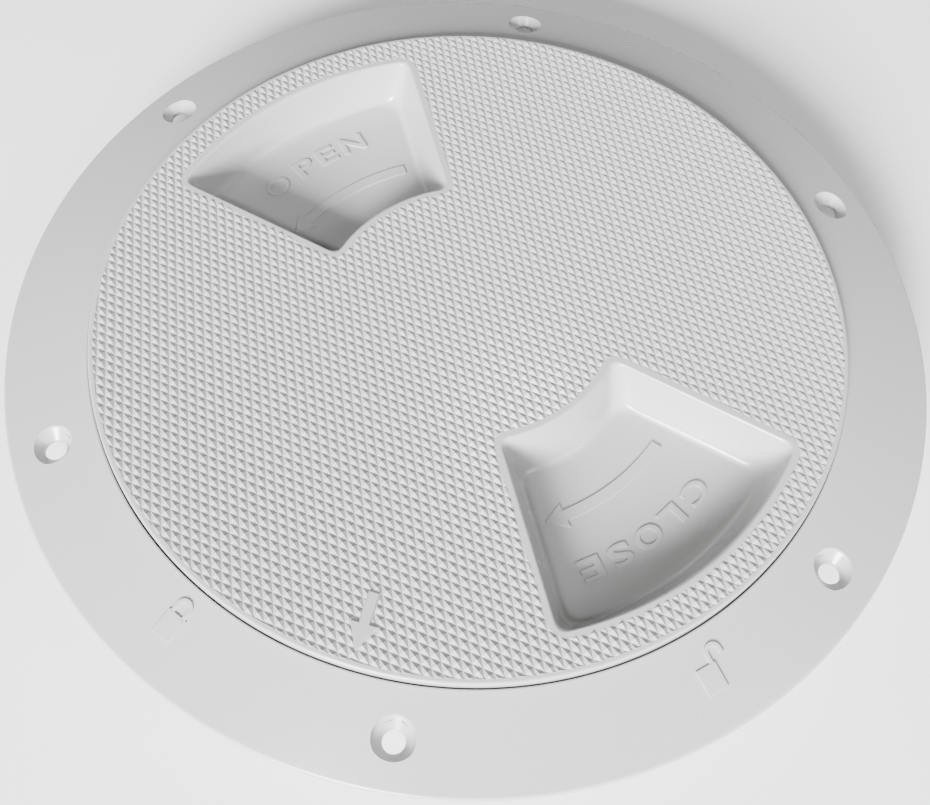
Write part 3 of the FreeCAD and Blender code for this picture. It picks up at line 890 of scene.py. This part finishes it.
class HATCH_OT_lid(Operator):
    """Build the lid: plate, rim, skirt with lugs, ribs and finger pockets"""
    bl_idname = "hatch.lid"
    bl_label = "Lid"

    def execute(self, context):
        scene = context.scene
        lid = scene.hatch_lid
        piece = new_object("lid_moulding", spin_solid(lid_profile(lid), lid.steps))
        tidy_mesh(piece)
        shells = lofted_object("pocket_shells", pocket_shell_loops(lid), 2)
        combine(piece, "UNION", [shells, rib_tool(lid), lug_tool(lid, scene.hatch_thread)])
        pockets = lofted_object("pockets", pocket_loops(lid), 2)
        field = tread_field(lid, scene.hatch_tread, scene.hatch_marks, scene.hatch_tread.recess)
        combine(piece, "DIFFERENCE", [pockets, field])
        tidy_mesh(piece)
        piece.data.transform(turn_about(lid.rest_angle, 4))
        finish_piece(piece, "lid", BODY_BEND, ["lid"])
        return {"FINISHED"}


# Tread

def pointer_outline(marks, margin=0.0):
    """The pointer's outline about the X axis, moved outwards by a margin."""
    half = marks.pointer_half + margin
    head = marks.pointer_head + margin * 1.6
    return [Vector((along, across, 0.0)) for along, across in (
        (marks.pointer_tail - margin, -half),
        (marks.pointer_neck - margin, -half),
        (marks.pointer_neck - margin, -head),
        (marks.pointer_tip + margin * 2.0, 0.0),
        (marks.pointer_neck - margin, head),
        (marks.pointer_neck - margin, half),
        (marks.pointer_tail - margin, half),
    )]


def pyramid_slab(lid, tread):
    """A slab covered in diamond-shaped pyramids, a little wider than the lid."""
    side = tread.pitch * 2 / math.sqrt(3)
    count = 2 * math.ceil(tread.radius * 1.3 / tread.pitch)
    base = tread.recess + tread.sink - tread.groove
    lattice = Matrix(((tread.pitch, tread.pitch, 0.0),
                      (side / 2, -side / 2, 0.0),
                      (0.0, 0.0, 1.0)))
    bm = bmesh.new()
    bmesh.ops.create_grid(bm, x_segments=count, y_segments=count, size=count / 2)
    bmesh.ops.transform(bm, matrix=lattice.to_4x4(), verts=bm.verts)
    far = [vert for vert in bm.verts if vert.co.length > tread.radius + 3 * tread.pitch]
    bmesh.ops.delete(bm, geom=far, context="VERTS")
    bmesh.ops.translate(bm, verts=bm.verts, vec=UP * (lid.top - tread.groove))
    tops = bm.faces[:]
    under = bmesh.ops.duplicate(bm, geom=all_of(bm))["geom"]
    bmesh.ops.translate(bm, verts=only_verts(under), vec=-UP * base)
    bmesh.ops.bridge_loops(bm, edges=[edge for edge in bm.edges if edge.is_boundary])
    bmesh.ops.recalc_face_normals(bm, faces=bm.faces)
    bmesh.ops.poke(bm, faces=tops, offset=tread.height + tread.groove, center_mode="MEAN")
    return new_object("lid_tread", bm)


def tread_field(lid, tread, marks, depth):
    """The block that bounds the tread: a disc without what surrounds the pockets and pointer."""
    low, high = lid.top - depth, lid.top + 2.0 * MM
    beyond = low - REACH, high + REACH
    bm = bmesh.new()
    disc_stack(bm, [(tread.radius, low), (tread.radius, high)], lid.steps)
    field = new_object("tread_field", bm)
    corner = lid.corner + tread.pocket_border
    pockets = lofted_object("pocket_fields", [
        pocket_outline(lid.mouth, corner, height, tread.pocket_border) for height in beyond], 2)
    bm = bmesh.new()
    raise_outline(bm, pointer_outline(marks, tread.mark_border), *beyond)
    turn_mesh(bm, marks.pointer_angle)
    combine(field, "DIFFERENCE", [pockets, new_object("pointer_field", bm)])
    return field


class HATCH_OT_tread(Operator):
    """Build the lid's grip tread of small diamond-shaped pyramids"""
    bl_idname = "hatch.tread"
    bl_label = "Tread"

    def execute(self, context):
        scene = context.scene
        lid, tread = scene.hatch_lid, scene.hatch_tread
        piece = pyramid_slab(lid, tread)
        combine(piece, "INTERSECT", [tread_field(lid, tread, scene.hatch_marks, 2.0 * MM)])
        piece.data.transform(turn_about(lid.rest_angle, 4))
        finish_piece(piece, "lid", TREAD_BEND)
        return {"FINISHED"}


# Raised marks

def bevel_top(bm, height, width):
    """Rounds the edges round the flat tops at a height."""
    bmesh.ops.recalc_face_normals(bm, faces=bm.faces)
    tops = {face for face in bm.faces
            if face.normal.z > 0.9 and abs(face.calc_center_median().z - height) < MERGE}
    rims = [edge for edge in bm.edges
            if len(edge.link_faces) == 2 and len(tops.intersection(edge.link_faces)) == 1]
    bmesh.ops.bevel(bm, geom=rims, offset=width, offset_type="OFFSET", segments=2,
                    profile=0.5, affect="EDGES", clamp_overlap=True, material=-1)


def raised_mark(outlines, foot, height, edge):
    """Raised shapes over flat outlines, from a little below a surface to a height above it."""
    bm = bmesh.new()
    for outline in outlines:
        raise_outline(bm, outline, foot - ROOT, foot + height)
    bevel_top(bm, foot + height, edge)
    return bm


def curved_arrow(marks, tail, way, steps=24):
    """A curved arrow's outline in a pocket on the X axis; way is 1 for anticlockwise."""
    radius, half = marks.arrow_radius, marks.arrow_half
    start, neck, tip = [way * along / radius
                        for along in (-tail, marks.arrow_neck, marks.arrow_tip)]
    points = arc_points(radius - half, start, neck, steps)
    points += [polar(radius - marks.arrow_head, neck), polar(radius, tip),
               polar(radius + marks.arrow_head, neck)]
    points += arc_points(radius + half, neck, start, steps)
    return points if way > 0 else points[::-1]


def letter_mesh(letter, marks, thickness):
    """A raised letter round the origin, as wide and high as the marks ask."""
    curve = bpy.data.curves.new("letter", "FONT")
    curve.body = letter
    # About the type size at which capitals are as high as asked; the mesh is then fitted exactly
    curve.size = 1.35 * marks.word_height
    curve.extrude = thickness / 2 - marks.edge
    curve.bevel_depth = marks.edge
    curve.bevel_resolution = 1
    curve.offset = marks.letter_weight
    curve.resolution_u = 6
    solid = bpy.data.objects.new("letter", curve)
    bpy.context.scene.collection.objects.link(solid)
    graph = bpy.context.evaluated_depsgraph_get()
    mesh = bpy.data.meshes.new_from_object(solid.evaluated_get(graph))
    bpy.data.objects.remove(solid)
    bpy.data.curves.remove(curve)
    width = marks.word_height
    if letter in marks.wide_letters:
        width *= marks.letter_widths[marks.wide_letters.find(letter)]
    across = [vert.co.x for vert in mesh.vertices]
    along = [vert.co.y for vert in mesh.vertices]
    grow = Matrix.Diagonal((width / (max(across) - min(across)),
                            marks.word_height / (max(along) - min(along)), 1.0, 1.0))
    middle = Vector(((max(across) + min(across)) / 2, (max(along) + min(along)) / 2, 0.0))
    mesh.transform(grow @ Matrix.Translation(-middle))
    return mesh


def add_word(bm, word, bearings, marks, floor):
    """Adds a word's letters round a pocket on the X axis, their tops pointing outwards."""
    thickness = marks.height + 0.2 * MM
    middle = floor + marks.height - thickness / 2
    for letter, bearing in zip(word, bearings):
        mesh = letter_mesh(letter, marks, thickness)
        place = Matrix.Translation(polar(marks.word_radius, bearing, middle))
        mesh.transform(place @ turn_about(bearing - math.pi / 2, 4))
        bm.from_mesh(mesh)
        bpy.data.meshes.remove(mesh)


class HATCH_OT_lid_marks(Operator):
    """Build the raised marks of the lid: pointer, curved arrows and words"""
    bl_idname = "hatch.lid_marks"
    bl_label = "Lid Marks"

    def execute(self, context):
        scene = context.scene
        lid, marks = scene.hatch_lid, scene.hatch_marks
        bm = raised_mark([pointer_outline(marks)], lid.top, marks.height, marks.edge)
        turn_mesh(bm, marks.pointer_angle + lid.rest_angle)
        finish_piece(new_object("lid_pointer", bm), "lid", MARK_BEND)
        floor = lid.top - lid.pocket_depth
        pockets = (
            ("open", marks.open_word, marks.open_bearings, marks.arrow_tail, 1, 0.0),
            ("close", marks.close_word, marks.close_bearings, marks.arrow_short_tail, -1, math.pi),
        )
        for name, word, bearings, tail, way, side in pockets:
            arrow = raised_mark([curved_arrow(marks, tail, way)], floor, marks.height, marks.edge)
            letters = bmesh.new()
            add_word(letters, word, bearings, marks, floor)
            bmesh.ops.remove_doubles(letters, verts=letters.verts, dist=MERGE)
            bmesh.ops.recalc_face_normals(letters, faces=letters.faces)
            for bm, kind in ((arrow, "arrow"), (letters, "word")):
                turn_mesh(bm, side + lid.rest_angle)
                finish_piece(new_object("lid_%s_%s" % (name, kind), bm), "lid", MARK_BEND)
        return {"FINISHED"}


def into_body(marks):
    """Where a shackle's leg ends inside the padlock's body."""
    return -marks.padlock_back + MEDIUM


def shackle_outline(marks, shift, free_end, steps=16):
    """A padlock's shackle: a half ring with two legs, the second one ending at free_end."""
    centre = Vector((-marks.shackle_centre, shift, 0.0))
    left, right = math.pi * 1.5, math.pi * 0.5
    outer = [centre + point for point in arc_points(marks.shackle_outer, left, right, steps)]
    inner = [centre + point for point in arc_points(marks.shackle_inner, right, left, steps)]
    fixed_end = into_body(marks)
    points = [Vector((fixed_end, outer[0].y, 0.0))] + outer
    points += [Vector((free_end, outer[-1].y, 0.0)), Vector((free_end, inner[0].y, 0.0))]
    points += inner + [Vector((fixed_end, inner[-1].y, 0.0))]
    return points[::-1]


def padlock_outlines(marks, shift, free_end):
    """A padlock's body and shackle, with the shackle towards the axis."""
    body = [Vector((along, across, 0.0)) for along, across in (
        (-marks.padlock_back, -marks.padlock_half),
        (marks.padlock_front, -marks.padlock_half),
        (marks.padlock_front, marks.padlock_half),
        (-marks.padlock_back, marks.padlock_half),
    )]
    return [body, shackle_outline(marks, shift, free_end)]


class HATCH_OT_padlocks(Operator):
    """Build the closed and the open padlock that stand on the flange"""
    bl_idname = "hatch.padlocks"
    bl_label = "Padlocks"

    def execute(self, context):
        scene = context.scene
        ring, marks = scene.hatch_ring, scene.hatch_marks
        tilt = Matrix.Rotation(flange_slope(ring), 4, "Y")
        for name, bearing, radius, shift, free_end in (
                ("ring_locked_mark", marks.locked_angle, marks.locked_radius,
                 0.0, into_body(marks)),
                ("ring_unlocked_mark", marks.unlocked_angle, marks.unlocked_radius,
                 marks.shackle_shift, -marks.free_end)):
            bm = raised_mark(padlock_outlines(marks, shift, free_end), 0.0,
                             marks.padlock_height, marks.edge)
            place = Matrix.Translation((radius, 0.0, flange_height(ring, radius)))
            bmesh.ops.transform(bm, matrix=turn_about(bearing, 4) @ place @ tilt, verts=bm.verts)
            finish_piece(new_object(name, bm), "ring", MARK_BEND)
        return {"FINISHED"}


# Seal

class HATCH_OT_seal(Operator):
    """Build the rubber seal between the ring's seat and the lid"""
    bl_idname = "hatch.seal"
    bl_label = "Seal"

    def execute(self, context):
        section = (SEAL_HIGH.z - SEAL_LOW.z) / 2
        middle = Vector((SEAL_HIGH.x - section, 0.0, (SEAL_HIGH.z + SEAL_LOW.z) / 2))
        facets = 32
        points = [middle + Vector((section * math.cos(turn), 0.0, section * math.sin(turn)))
                  for turn in (FULL_TURN * step / facets for step in range(facets))]
        piece = new_object("seal_ring", spin_solid(points, context.scene.hatch_ring.steps))
        finish_piece(piece, "seal", SEAL_BEND, ["lid_seal"])
        return {"FINISHED"}


# Stage

def outwards(bearing, elevation):
    """The direction from the hatch to a bearing and an elevation."""
    return Vector((math.cos(bearing) * math.cos(elevation),
                   math.sin(bearing) * math.cos(elevation), math.sin(elevation)))


def square_light(stage, name):
    """One of the stage's square lights, which shines at the origin."""
    power, size, distance, bearing, elevation = [
        getattr(stage, "%s_%s" % (name, part))
        for part in ("power", "size", "distance", "bearing", "elevation")]
    light = bpy.data.lights.new(name, "AREA")
    light.energy = power
    light.shape = "SQUARE"
    light.size = size
    lamp = bpy.data.objects.new(name, light)
    away = outwards(bearing, elevation)
    lamp.location = away * distance
    lamp.rotation_mode = "QUATERNION"
    lamp.rotation_quaternion = away.to_track_quat("Z", "Y")
    bpy.context.scene.collection.objects.link(lamp)


def place_camera(scene, stage):
    """Puts the camera on its sphere round the target, then turns it about its line of sight."""
    back = outwards(stage.azimuth - math.pi / 2, stage.elevation)
    right = (-back).cross(UP).normalized()
    above = right.cross(-back)
    across = right * math.cos(stage.roll) + above * math.sin(stage.roll)
    upright = above * math.cos(stage.roll) - right * math.sin(stage.roll)
    data = bpy.data.cameras.new("camera")
    data.sensor_width = 36.0
    data.lens = stage.lens
    data.clip_start = 10 * MM
    data.clip_end = 100.0
    camera = bpy.data.objects.new("camera", data)
    camera.rotation_mode = "QUATERNION"
    camera.rotation_quaternion = Matrix((across, upright, back)).transposed().to_quaternion()
    camera.location = Vector(stage.target) + back * stage.distance
    scene.collection.objects.link(camera)
    scene.camera = camera


class HATCH_OT_stage(Operator):
    """Build the pale floor, the soft studio light and the camera"""
    bl_idname = "hatch.stage"
    bl_label = "Stage"

    def execute(self, context):
        scene = context.scene
        stage = scene.hatch_stage
        bm = bmesh.new()
        bmesh.ops.create_grid(bm, x_segments=1, y_segments=1, size=stage.floor_half)
        bmesh.ops.translate(bm, verts=bm.verts, vec=(0.0, 0.0, RING_LOW.z))
        floor = new_object("floor", bm)
        floor.data.materials.append(floor_material(scene.hatch_finish))
        world = scene.world or bpy.data.worlds.new("studio")
        scene.world = world
        world.use_nodes = True
        background = world.node_tree.nodes["Background"]
        background.inputs["Color"].default_value = (1.0, 1.0, 1.0, 1.0)
        background.inputs["Strength"].default_value = stage.world_strength
        for name in ("key", "glint", "fill"):
            square_light(stage, name)
        place_camera(scene, stage)
        return {"FINISHED"}


BUILDERS = (HATCH_OT_ring, HATCH_OT_padlocks, HATCH_OT_seal, HATCH_OT_lid, HATCH_OT_tread,
            HATCH_OT_lid_marks, HATCH_OT_stage)


class HATCH_PT_panel(Panel):
    """Lists the builders in the 3D view's sidebar"""
    bl_idname = "HATCH_PT_panel"
    bl_label = "Deck Hatch"
    bl_space_type = "VIEW_3D"
    bl_region_type = "UI"
    bl_category = "Deck Hatch"

    def draw(self, context):
        for builder in BUILDERS:
            self.layout.operator(builder.bl_idname)
        for name in SETTINGS:
            settings = getattr(context.scene, name)
            box = self.layout.box()
            for words in settings.bl_rna.properties.keys():
                if words not in {"rna_type", "name"}:
                    box.prop(settings, words)


def register():
    for group in SETTINGS.values():
        bpy.utils.register_class(group)
    for builder in BUILDERS:
        bpy.utils.register_class(builder)
    bpy.utils.register_class(HATCH_PT_panel)
    for name, group in SETTINGS.items():
        setattr(bpy.types.Scene, name, PointerProperty(type=group))


def unregister():
    for name in SETTINGS:
        delattr(bpy.types.Scene, name)
    bpy.utils.unregister_class(HATCH_PT_panel)
    for builder in reversed(BUILDERS):
        bpy.utils.unregister_class(builder)
    for group in reversed(SETTINGS.values()):
        bpy.utils.unregister_class(group)


def main():
    """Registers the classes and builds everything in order."""
    register()
    for builder in BUILDERS:
        group, name = builder.bl_idname.split(".")
        if getattr(getattr(bpy.ops, group), name)() != {"FINISHED"}:
            raise RuntimeError(builder.bl_label + " wasn't built")


if __name__ == "__main__":
    main()
